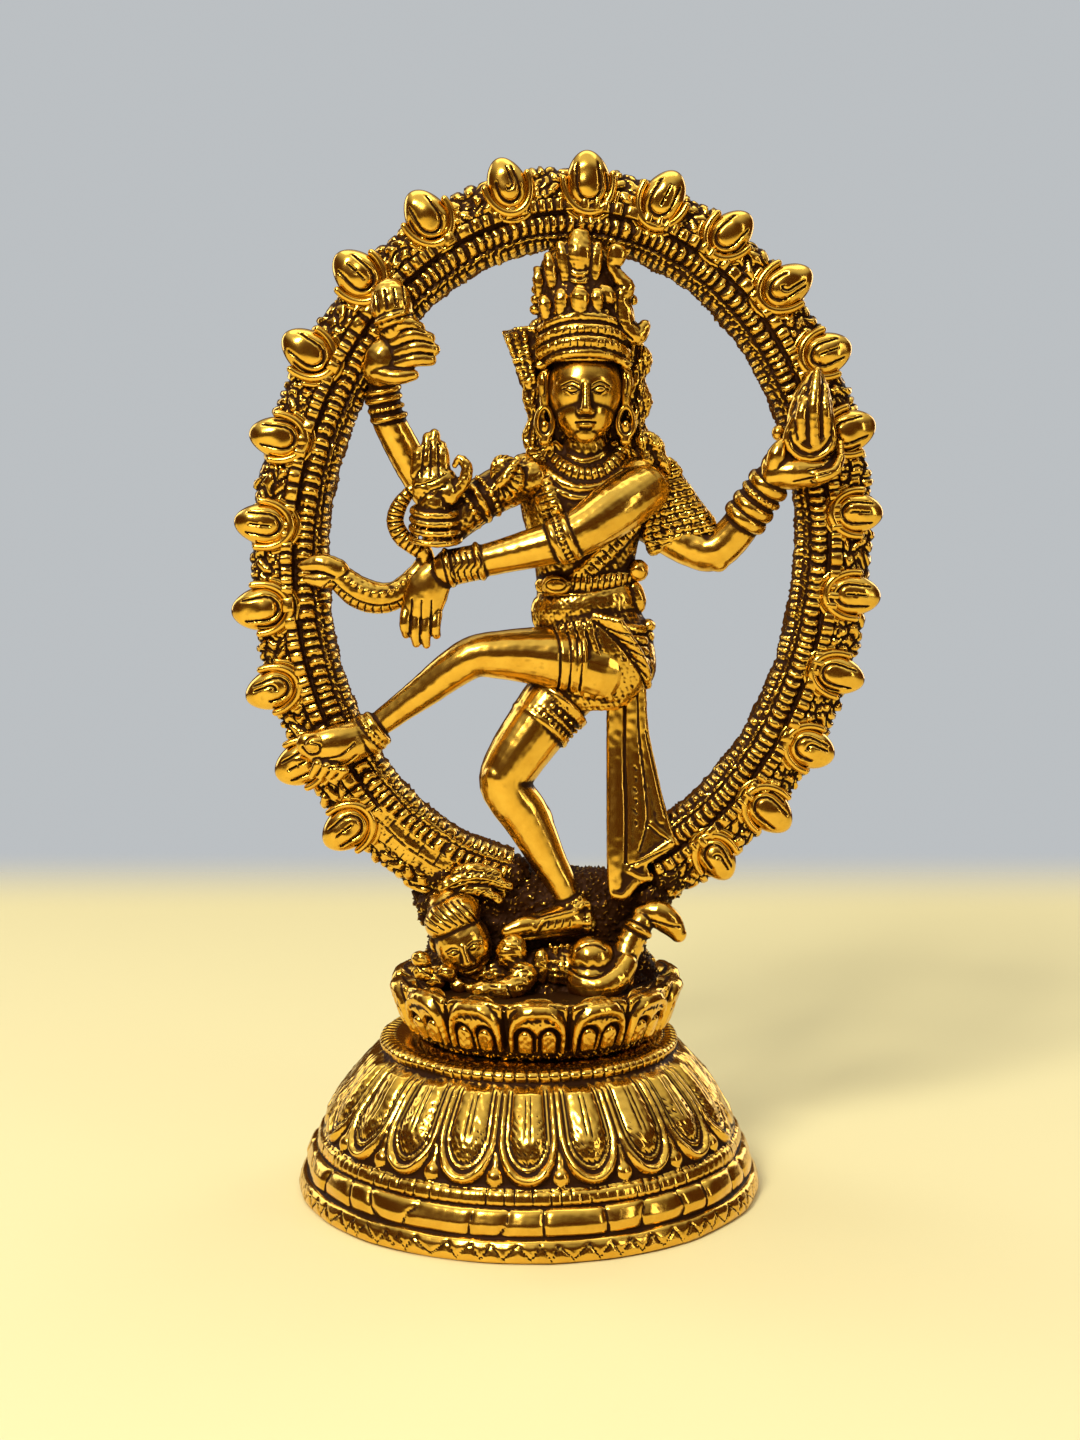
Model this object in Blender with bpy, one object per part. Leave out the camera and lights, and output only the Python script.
"""A nine inch brass Nataraja: a dancer inside a ring of flames, on a lotus plinth and a round bell base.

Row frame: origin under the middle of the whole statue at the height of the foot, +Z up, the dancer faces -Y.
The tables below are in millimetres from the middle of the round base, and mesh_object() turns them into metres
from the row origin. Each node is one closed solid. Where two castings meet, the later one is cut back by its
neighbour's own shapes grown by JOINT_GAP, the width of a brazed joint.
"""

from functools import partial
from math import cos, pi, radians, sin

import bpy
from mathutils import Vector

MM = 0.001
JOINT_GAP = 0.3
ROW_ORIGIN_X = 7.25

# Driving dimensions, in millimetres.
BASE_RADIUS = 52.3
BASE_WALL = 2.6
BASE_PETALS = 21
LEDGE_HEIGHT = 34.8
LEDGE_RADIUS = 32.6
PLINTH_CENTRE_X = 1.6
PLINTH_FOOT_HEIGHT = LEDGE_HEIGHT + JOINT_GAP
PLINTH_RIM_HEIGHT = 48.6
PLINTH_RIM_RADIUS = 31.6
PLINTH_PETALS = 14
SPIGOT_RADIUS = 9.0
SPIGOT_DEPTH = 3.4
SCREW_RADIUS = 2.5
SCREW_HEAD_RADIUS = 4.6
ARCH_CENTRE = (7.2, 142.5)
ARCH_HALF_AXES = (60.3, 75.6)
ARCH_TILT = radians(4.5)
ARCH_ENDS = (radians(-164), radians(152))
FLAME_COUNT = 22
FLAME_ENDS = (radians(-140.5), radians(141.5))

# Colour, metallic and roughness of each finish.
FINISHES = {
    "antique_brass": ((0.86, 0.58, 0.16), 1.0, 0.32),
    "dark_brass": ((0.28, 0.17, 0.06), 1.0, 0.55),
    "plated_steel": ((0.62, 0.62, 0.60), 1.0, 0.35),
}


def clear_scene():
    for obj in list(bpy.data.objects):
        bpy.data.objects.remove(obj)


def finish(name):
    """The Principled material of this name, made on first use."""
    if name in bpy.data.materials:
        return bpy.data.materials[name]
    colour, metallic, roughness = FINISHES[name]
    material = bpy.data.materials.new(name)
    material.use_nodes = True
    shader = material.node_tree.nodes["Principled BSDF"]
    shader.inputs["Base Color"].default_value = (*colour, 1)
    shader.inputs["Metallic"].default_value = metallic
    shader.inputs["Roughness"].default_value = roughness
    return material


def mesh_object(name, points, faces):
    """An object with its origin at the middle of its own points, which are given in millimetres."""
    points = [(Vector(p) - Vector((ROW_ORIGIN_X, 0, 0))) * MM for p in points]
    origin = sum(points, Vector()) / len(points)
    mesh = bpy.data.meshes.new(name)
    mesh.from_pydata([p - origin for p in points], [], faces)
    mesh.validate()
    mesh.shade_smooth()
    mesh.set_sharp_from_angle(angle=radians(40))
    obj = bpy.data.objects.new(name, mesh)
    obj.location = origin
    bpy.context.scene.collection.objects.link(obj)
    return obj


# Shapes. Each returns (points, faces), with the faces pointing out.


def skin_rings(rings, closed_loop=False):
    """Joins equal rings of points into one skin, with a flat cap at each end unless the rings form a loop."""
    sides = len(rings[0])
    points = [p for ring in rings for p in ring]
    faces = []
    spans = len(rings) if closed_loop else len(rings) - 1
    for i in range(spans):
        for k in range(sides):
            near = i * sides
            far = ((i + 1) % len(rings)) * sides
            after = (k + 1) % sides
            faces.append((near + k, near + after, far + after, far + k))
    if not closed_loop:
        faces.append(tuple(reversed(range(sides))))
        last = (len(rings) - 1) * sides
        faces.append(tuple(range(last, last + sides)))
    return points, faces


def ball(centre, size, turn=0.0, sides=12, rows=6):
    """An ellipsoid with half axes size, turned by turn radians about Y so that its +Z leans towards +X."""
    rx, ry, rz = size
    rings = []
    for i in range(rows + 1):
        tilt = pi * (0.06 + 0.88 * i / rows)
        ring = []
        for k in range(sides):
            spin = 2 * pi * k / sides
            x, y, z = rx * sin(tilt) * cos(spin), ry * sin(tilt) * sin(spin), -rz * cos(tilt)
            ring.append((
                centre[0] + x * cos(turn) + z * sin(turn),
                centre[1] + y,
                centre[2] - x * sin(turn) + z * cos(turn),
            ))
        rings.append(ring)
    return skin_rings(rings)


def smooth_path(points, steps):
    """Points on a Catmull-Rom curve through the given ones, steps to each span; each point may carry a radius."""
    ends = [points[0], *points, points[-1]]
    found = []
    for i in range(1, len(ends) - 2):
        a, b, c, d = (Vector(p) for p in ends[i - 1 : i + 3])
        for s in range(steps):
            t = s / steps
            found.append(
                0.5 * (2 * b + (c - a) * t + (2 * a - 5 * b + 4 * c - d) * t**2 + (3 * b - a - 3 * c + d) * t**3)
            )
    found.append(Vector(points[-1]))
    return found


def limb(path, depth=1.0, sides=10, steps=2):
    """A round limb along path, a list of (x, y, z, radius). depth is its thickness along Y over its width."""
    stations = smooth_path(path, steps)
    rings = []
    for i, station in enumerate(stations):
        before, after = stations[max(i - 1, 0)], stations[min(i + 1, len(stations) - 1)]
        along = (after - before).xyz.normalized()
        across = Vector((0, 1, 0)).cross(along)
        if across.length < 0.05:
            across = Vector((1, 0, 0))
        across.normalize()
        front = along.cross(across)
        radius = station.w
        cap_steps = ((0.9, 0.45), (0.45, 0.9)) if i in (0, len(stations) - 1) else ()
        ring_set = [(radius, 0.0), *((radius * width, radius * reach) for width, reach in cap_steps)]
        outward = -1 if i == 0 else 1
        made = []
        for width, reach in ring_set:
            centre = station.xyz + along * reach * outward
            made.append([
                centre + across * width * cos(a) + front * width * depth * sin(a)
                for a in (2 * pi * k / sides for k in range(sides))
            ])
        rings.extend(reversed(made) if i == 0 else made)
    return skin_rings(rings)


def trunk(levels, sides=16):
    """A stack of level ellipses, each (z, centre x, centre y, half width, half depth), from the bottom up."""
    angles = [2 * pi * k / sides for k in range(sides)]
    return skin_rings([[(x + width * cos(a), y + deep * sin(a), z) for a in angles] for z, x, y, width, deep in levels])


def plate(outline, front, back):
    """An outline of (x, z) points, anticlockwise as the viewer sees it, given thickness from y front to y back."""
    return skin_rings([[(x, y, z) for x, z in outline] for y in (back, front)])


def turned(profile, centre_x=0.0, sides=48, lobes=0, hollow=False):
    """A profile of (radius, z, lobe depth) spun about Z, from the bottom of the axis outwards and up to the top.

    A hollow profile is a closed loop. Its points run anticlockwise when radius is to the right and z is up.
    """
    rings = []
    for radius, z, lobe in profile:
        ring = []
        for k in range(sides):
            spin = 2 * pi * k / sides
            reach = radius - lobe * (1 - abs(sin(lobes * spin / 2)))
            ring.append((centre_x + reach * cos(spin), reach * sin(spin), z))
        rings.append(ring)
    return skin_rings(rings, closed_loop=hollow)


def arch_point(phi, out, y):
    """The point at angle phi from the arch's top, out mm outside its middle line."""
    half_x, half_z = ARCH_HALF_AXES
    x, z = half_x * sin(phi), half_z * cos(phi)
    normal = Vector((sin(phi) * half_z, cos(phi) * half_x)).normalized()
    x, z = x + normal.x * out, z + normal.y * out
    return (
        ARCH_CENTRE[0] + x * cos(ARCH_TILT) + z * sin(ARCH_TILT),
        y,
        ARCH_CENTRE[1] - x * sin(ARCH_TILT) + z * cos(ARCH_TILT),
    )


def arch_band(spans=60):
    """The arch's band: one moulded section swept round the ellipse from foot to foot."""
    section = [(-8.0, 6.2), (-8.0, -4.6), (-6.2, -6.4), (-1.2, -7.0), (4.0, -6.0), (7.6, -3.4), (7.6, 3.4), (4.0, 6.2)]
    first, last = ARCH_ENDS
    rings = [[arch_point(first + (last - first) * i / spans, out, y) for out, y in section] for i in range(spans + 1)]
    return skin_rings(rings)


def flame_boss(index):
    """One egg-shaped flame on the arch's outer edge, its narrow end pointing away from the dancer."""
    first, last = FLAME_ENDS
    phi = first + (last - first) * index / (FLAME_COUNT - 1)
    inner, outer = Vector(arch_point(phi, 4.4, -3.0)), Vector(arch_point(phi, 8.4, -1.8))
    return limb([(*inner, 4.2), (*outer, 3.4)], depth=1.3, sides=8, steps=1)


# The castings, as lists of shapes. Left and right are the viewer's.

BASE_SHELL = [
    partial(
        turned,
        profile=[
            (BASE_RADIUS - 3.4, 0.0, 0),
            (BASE_RADIUS - 0.6, 0.0, 0),
            (BASE_RADIUS, 1.2, 0),
            (BASE_RADIUS - 0.6, 3.6, 0),
            (BASE_RADIUS - 2.0, 5.0, 0),
            (BASE_RADIUS - 2.8, 9.8, 0),
            (47.4, 12.6, 0),
            (47.0, 14.4, 1.6),
            (45.8, 18.0, 1.6),
            (42.4, 23.0, 1.2),
            (38.4, 27.6, 0.8),
            (34.2, 31.0, 0),
            (LEDGE_RADIUS, 31.8, 0),
            (LEDGE_RADIUS, 34.0, 0),
            (LEDGE_RADIUS - 1.2, LEDGE_HEIGHT, 0),
            (SPIGOT_RADIUS + JOINT_GAP, LEDGE_HEIGHT, 0),
            (SPIGOT_RADIUS + JOINT_GAP, LEDGE_HEIGHT - SPIGOT_DEPTH - JOINT_GAP, 0),
            (SCREW_RADIUS + JOINT_GAP, LEDGE_HEIGHT - SPIGOT_DEPTH - JOINT_GAP, 0),
            (SCREW_RADIUS + JOINT_GAP, 28.4, 0),
            (31.0, 28.4, 0),
            (38.8 - BASE_WALL, 24.2, 0),
            (42.6 - BASE_WALL, 19.6, 0),
            (45.6 - BASE_WALL, 14.6, 0),
            (BASE_RADIUS - 2.8 - BASE_WALL, 6.0, 0),
            (BASE_RADIUS - 3.4, 2.4, 0),
        ],
        sides=63,
        lobes=BASE_PETALS,
        hollow=True,
    ),
]

PLINTH = [
    partial(
        turned,
        centre_x=PLINTH_CENTRE_X,
        sides=56,
        lobes=PLINTH_PETALS,
        profile=[
            (27.0, PLINTH_FOOT_HEIGHT, 0),
            (28.0, 37.6, 0),
            (28.4, 39.0, 0.6),
            (30.6, 44.0, 1.4),
            (PLINTH_RIM_RADIUS, 47.4, 2.0),
            (PLINTH_RIM_RADIUS - 0.6, PLINTH_RIM_HEIGHT, 2.0),
            (28.0, 47.6, 0.6),
            (20.0, 47.2, 0),
        ],
    ),
    partial(
        turned,
        profile=[(SPIGOT_RADIUS, LEDGE_HEIGHT - SPIGOT_DEPTH, 0), (SPIGOT_RADIUS, PLINTH_FOOT_HEIGHT + 2.0, 0)],
    ),
]

FIXING_SCREW = [
    partial(
        turned,
        sides=20,
        profile=[
            (3.4, 23.8, 0),
            (SCREW_HEAD_RADIUS, 24.8, 0),
            (SCREW_HEAD_RADIUS, 26.6, 0),
            (SCREW_RADIUS, 26.6, 0),
            (SCREW_RADIUS, 41.6, 0),
            (SCREW_RADIUS - 0.6, 42.4, 0),
        ],
    ),
]

WASHER = [
    partial(
        turned,
        sides=32,
        hollow=True,
        profile=[
            (SCREW_RADIUS + JOINT_GAP, 26.9, 0),
            (9.0, 26.9, 0),
            (9.0, 28.1, 0),
            (SCREW_RADIUS + JOINT_GAP, 28.1, 0),
        ],
    ),
]

GROUND_MOUND = [
    partial(
        trunk,
        sides=20,
        levels=[
            (47.4, 2.0, 2.0, 26.0, 17.0),
            (50.5, 2.0, 2.0, 25.5, 13.0),
            (56.0, 1.6, 1.6, 23.5, 8.6),
            (62.0, 2.8, 1.2, 27.0, 7.4),
            (68.0, 4.6, 0.8, 30.5, 6.6),
            (73.4, 5.4, 0.4, 29.0, 5.0),
        ],
    ),
]

FLAME_ARCH = [arch_band, *(partial(flame_boss, index) for index in range(FLAME_COUNT))]

DWARF_BODY = [
    partial(limb, path=[(-15.5, -10.5, 49.5, 3.4), (-6.5, -11.5, 50.6, 4.4), (3.5, -11.0, 51.4, 4.8), (12.0, -10.5, 51.0, 5.0)]),
    partial(limb, path=[(-4.2, -13.5, 55.5, 2.4), (-2.6, -16.5, 50.4, 2.4), (-8.2, -18.2, 48.8, 2.2)]),
]
DWARF_HEAD = [
    partial(ball, centre=(-15.0, -12.6, 55.0), size=(5.9, 5.6, 6.6), turn=-0.3),
    partial(ball, centre=(-19.4, -8.0, 56.6), size=(5.8, 5.4, 5.6), turn=-0.6),
]
DWARF_LEGS = [
    partial(ball, centre=(14.2, -13.0, 50.4), size=(5.6, 5.4, 6.2), turn=0.3),
    partial(limb, path=[(18.0, -10.5, 50.6, 3.2), (22.4, -9.0, 54.6, 2.7), (25.6, -7.6, 60.0, 2.1)]),
    partial(limb, path=[(25.8, -7.6, 60.8, 2.6), (30.4, -8.2, 61.8, 2.9), (35.4, -8.6, 59.6, 2.0)], depth=0.9),
]

STANDING_LEG = [
    partial(
        limb,
        steps=3,
        path=[
            (8.6, -1.0, 110.0, 6.8),
            (3.6, -3.0, 104.0, 6.7),
            (-5.0, -5.4, 92.2, 5.9),
            (-1.6, -4.6, 82.0, 5.0),
            (3.6, -4.4, 72.0, 3.8),
            (8.6, -4.8, 63.6, 2.7),
        ],
    ),
    partial(limb, path=[(12.2, -4.8, 60.6, 2.4), (4.0, -7.0, 60.6, 2.6), (-4.4, -10.2, 59.6, 1.9)], depth=1.2),
]

HIP_WRAP = [
    partial(
        trunk,
        levels=[
            (107.2, 13.6, -1.0, 8.0, 5.6),
            (110.5, 13.8, -1.2, 12.0, 7.4),
            (116.0, 15.2, -1.6, 13.4, 8.2),
            (122.0, 15.6, -1.8, 13.2, 8.2),
            (128.0, 14.4, -2.0, 11.8, 7.6),
            (133.0, 13.0, -2.0, 11.2, 7.0),
        ],
    ),
]

RAISED_LEG = [
    partial(
        limb,
        steps=3,
        path=[
            (9.0, -5.0, 118.4, 6.9),
            (-1.0, -6.2, 119.4, 6.2),
            (-10.4, -7.2, 120.2, 4.7),
            (-19.6, -7.0, 114.6, 3.9),
            (-27.0, -6.6, 110.0, 3.3),
            (-33.6, -6.4, 106.2, 2.6),
        ],
    ),
    partial(limb, path=[(-34.6, -9.0, 104.4, 3.4), (-41.0, -10.4, 100.8, 4.6), (-47.4, -10.4, 97.6, 3.6)], depth=0.55),
]

TORSO = [
    partial(
        trunk,
        levels=[
            (133.3, 13.0, -2.0, 10.6, 6.4),
            (139.0, 12.4, -2.0, 10.7, 6.5),
            (146.0, 12.2, -2.2, 11.4, 7.3),
            (152.0, 12.2, -2.4, 13.0, 8.2),
            (157.5, 12.6, -2.2, 14.2, 7.8),
            (161.6, 13.0, -1.8, 12.4, 6.2),
            (164.6, 13.4, -1.6, 8.0, 5.0),
        ],
    ),
    partial(limb, path=[(13.3, -1.8, 162.0, 4.8), (12.8, -3.4, 168.0, 4.2)], steps=1),
]

HEAD = [partial(ball, centre=(12.3, -6.4, 177.0), size=(7.9, 7.4, 10.2), sides=16, rows=8)]

CROWN = [
    partial(
        trunk,
        levels=[
            (183.8, 12.2, -4.6, 9.6, 7.8),
            (187.0, 12.2, -4.6, 10.6, 8.6),
            (193.0, 11.8, -4.2, 10.4, 8.0),
            (200.0, 11.4, -3.8, 10.2, 7.2),
            (206.0, 11.2, -3.4, 9.4, 6.0),
            (210.6, 11.4, -3.0, 6.6, 4.4),
            (213.4, 11.6, -2.8, 3.0, 2.4),
        ],
    ),
]

HAIR_PANEL = [
    partial(
        plate,
        front=-2.6,
        back=4.6,
        outline=[
            (-4.2, 161.6), (30.6, 157.8), (26.4, 168.0), (25.2, 180.0), (25.6, 192.0),
            (21.0, 197.0), (2.0, 195.6), (-5.8, 191.8), (-1.4, 180.0), (-0.4, 170.0),
        ],
    ),
]

GAJA_ARM = [
    partial(
        limb,
        steps=3,
        path=[
            (25.2, -5.2, 160.2, 5.4),
            (18.4, -10.6, 155.4, 4.8),
            (6.4, -13.6, 147.8, 4.0),
            (-5.0, -13.0, 143.4, 3.4),
            (-14.8, -11.4, 140.0, 2.8),
        ],
    ),
    partial(limb, path=[(-15.6, -11.2, 139.6, 3.0), (-20.8, -10.6, 136.6, 3.9), (-23.0, -10.2, 130.8, 3.6)], depth=0.6),
    *(
        partial(limb, path=[(-20.4 - 1.8 * k, -10.2, 131.0, 1.15), (-21.4 - 1.7 * k, -10.4, 124.4, 0.9)], steps=1, sides=8)
        for k in range(4)
    ),
]

DRUM_ARM = [
    partial(
        limb,
        path=[
            (2.0, 0.6, 160.6, 4.0),
            (-8.0, 0.8, 157.0, 4.0),
            (-18.4, 0.8, 153.8, 4.2),
            (-23.2, 0.2, 161.4, 3.7),
            (-27.4, -1.0, 170.0, 3.4),
            (-30.0, -3.6, 179.6, 3.1),
        ],
    ),
    partial(ball, centre=(-28.6, -6.6, 186.4), size=(6.0, 4.6, 5.8), turn=0.5),
    partial(limb, path=[(-27.0, -8.0, 189.4, 2.0), (-21.4, -8.6, 186.8, 1.8)], steps=1),
    partial(limb, path=[(-27.0, -8.0, 185.6, 2.0), (-20.6, -8.4, 183.6, 1.7)], steps=1),
]

DRUM = [
    partial(limb, path=[(-31.4, -9.6, 193.0, 3.6), (-29.6, -9.6, 197.0, 2.7), (-27.8, -9.6, 201.0, 3.6)], sides=12),
]

BLESSING_ARM = [
    partial(
        limb,
        path=[
            (-0.6, -6.4, 159.0, 4.2),
            (-8.0, -7.6, 154.6, 4.2),
            (-15.0, -9.0, 149.6, 4.4),
            (-19.6, -11.4, 147.4, 4.6),
            (-20.2, -12.6, 152.0, 4.0),
        ],
    ),
    partial(ball, centre=(-20.4, -12.6, 157.6), size=(5.0, 2.8, 5.6)),
    *(
        partial(
            limb,
            path=[(-23.6 + 2.1 * k, -12.4, 160.4, 1.35), (-23.4 + 1.7 * k, -11.2, 168.4 - abs(k - 1.4), 1.1)],
            steps=1,
            sides=8,
        )
        for k in range(4)
    ),
    partial(limb, path=[(-16.6, -13.0, 154.6, 1.6), (-13.4, -13.0, 158.6, 1.4), (-14.2, -13.0, 161.8, 1.1)]),
]

FIRE_ARM = [
    partial(
        limb,
        path=[
            (20.0, 1.6, 154.0, 4.4),
            (27.4, 0.4, 148.6, 4.3),
            (34.4, -1.2, 144.4, 4.2),
            (41.0, -2.4, 142.2, 4.2),
            (46.8, -3.8, 149.4, 3.8),
            (52.2, -5.4, 156.6, 3.1),
        ],
    ),
    partial(limb, path=[(52.6, -8.4, 158.6, 3.0), (58.4, -10.4, 160.6, 3.0), (64.6, -10.6, 161.2, 2.0)], depth=1.1),
]

FIRE_FLAME = [
    partial(
        limb,
        depth=0.72,
        path=[(60.4, -11.0, 166.4, 3.4), (61.0, -11.0, 171.0, 4.8), (61.6, -10.6, 176.4, 3.6), (62.0, -10.2, 182.0, 1.2)],
    ),
]

SHOULDER_VEIL = [
    partial(
        plate,
        front=-3.6,
        back=3.6,
        outline=[(26.6, 152.0), (28.0, 145.8), (37.2, 147.2), (36.0, 152.2), (31.4, 158.4), (27.4, 166.4), (24.6, 166.0)],
    ),
]

DANCING_SASH = [
    partial(
        plate,
        front=-6.0,
        back=2.4,
        outline=[
            (17.8, 69.4), (20.6, 66.2), (25.4, 66.4), (27.6, 70.0), (33.4, 77.6), (32.2, 84.6),
            (29.0, 98.0), (26.8, 112.0), (20.6, 112.0), (19.2, 98.0), (18.4, 84.0),
        ],
    ),
]

COBRA = [
    partial(
        limb,
        sides=8,
        path=[
            (-27.6, -7.6, 152.6, 1.9),
            (-29.2, -8.2, 148.6, 2.1),
            (-26.4, -8.8, 144.4, 2.3),
            (-24.0, -8.6, 140.4, 2.3),
            (-26.6, -9.0, 134.6, 2.5),
            (-32.6, -9.4, 132.6, 2.7),
            (-38.0, -9.8, 135.4, 3.0),
            (-42.6, -10.0, 138.4, 3.6),
            (-48.4, -9.8, 139.4, 1.8),
        ],
    ),
]

# Each node: its shapes, its finish and the nodes whose shapes cut it back at the joints.
NODES = {
    "base_shell": (BASE_SHELL, "antique_brass", []),
    "fixing_screw": (FIXING_SCREW, "plated_steel", []),
    "screw_washer": (WASHER, "plated_steel", []),
    "lotus_plinth": (PLINTH, "antique_brass", ["fixing_screw"]),
    "ground_mound": (GROUND_MOUND, "dark_brass", ["lotus_plinth"]),
    "standing_leg": (STANDING_LEG, "antique_brass", ["ground_mound"]),
    "hip_wrap": (HIP_WRAP, "antique_brass", ["standing_leg"]),
    "raised_leg": (RAISED_LEG, "antique_brass", ["hip_wrap", "standing_leg"]),
    "torso": (TORSO, "antique_brass", ["hip_wrap"]),
    "head": (HEAD, "antique_brass", ["torso"]),
    "crown": (CROWN, "antique_brass", ["head"]),
    "hair_panel": (HAIR_PANEL, "antique_brass", ["torso", "head", "crown"]),
    "gaja_arm": (GAJA_ARM, "antique_brass", ["torso", "hair_panel"]),
    "drum_arm": (DRUM_ARM, "antique_brass", ["torso", "hair_panel"]),
    "drum": (DRUM, "antique_brass", ["drum_arm"]),
    "blessing_arm": (BLESSING_ARM, "antique_brass", ["torso", "hair_panel", "drum_arm", "gaja_arm"]),
    "fire_arm": (FIRE_ARM, "antique_brass", ["torso", "gaja_arm", "hair_panel"]),
    "fire_flame": (FIRE_FLAME, "antique_brass", ["fire_arm"]),
    "shoulder_veil": (SHOULDER_VEIL, "antique_brass", ["torso", "gaja_arm", "hair_panel", "fire_arm"]),
    "dancing_sash": (DANCING_SASH, "antique_brass", ["ground_mound", "hip_wrap"]),
    "cobra": (COBRA, "antique_brass", ["blessing_arm", "gaja_arm", "drum_arm"]),
    "dwarf_body": (DWARF_BODY, "antique_brass", ["lotus_plinth", "ground_mound", "standing_leg"]),
    "dwarf_head": (DWARF_HEAD, "antique_brass", ["lotus_plinth", "ground_mound", "dwarf_body"]),
    "dwarf_legs": (DWARF_LEGS, "antique_brass", ["lotus_plinth", "ground_mound", "dwarf_body", "standing_leg"]),
    "flame_arch": (
        FLAME_ARCH,
        "antique_brass",
        [
            "ground_mound", "crown", "hair_panel", "drum_arm", "drum", "fire_arm", "fire_flame", "raised_leg",
            "cobra", "dancing_sash",
        ],
    ),
}


def make_shape(name, shape, grow=0.0):
    """The shape as an object, its surface pushed out by grow mm."""
    obj = mesh_object(name, *shape())
    normals = [vertex.normal.copy() for vertex in obj.data.vertices]
    for vertex, normal in zip(obj.data.vertices, normals):
        vertex.co += normal * grow * MM
    return obj


def hide(obj):
    obj.hide_render = True
    obj.display_type = "WIRE"


def combine(obj, other, operation):
    hide(other)
    modifier = obj.modifiers.new(f"{operation.lower()} {other.name}", "BOOLEAN")
    modifier.operation = operation
    modifier.solver = "EXACT"
    modifier.object = other


def make_node(name, shapes, finish_name, cut_by, parent):
    """One node: its first shape, joined to its other shapes and then cut back by its neighbours."""
    obj = make_shape(name, shapes[0])
    obj.data.materials.append(finish(finish_name))
    for index, shape in enumerate(shapes[1:], start=1):
        combine(obj, make_shape(f"{name}.shape_{index}", shape), "UNION")
    for neighbour in cut_by:
        for index, shape in enumerate(NODES[neighbour][0]):
            combine(obj, make_shape(f"{name}.joint_{neighbour}_{index}", shape, grow=JOINT_GAP), "DIFFERENCE")
    obj.parent = parent
    return obj


def main():
    clear_scene()
    statue = bpy.data.objects.new("statue", None)
    bpy.context.scene.collection.objects.link(statue)
    for name, (shapes, finish_name, cut_by) in NODES.items():
        make_node(name, shapes, finish_name, cut_by, statue)


main()
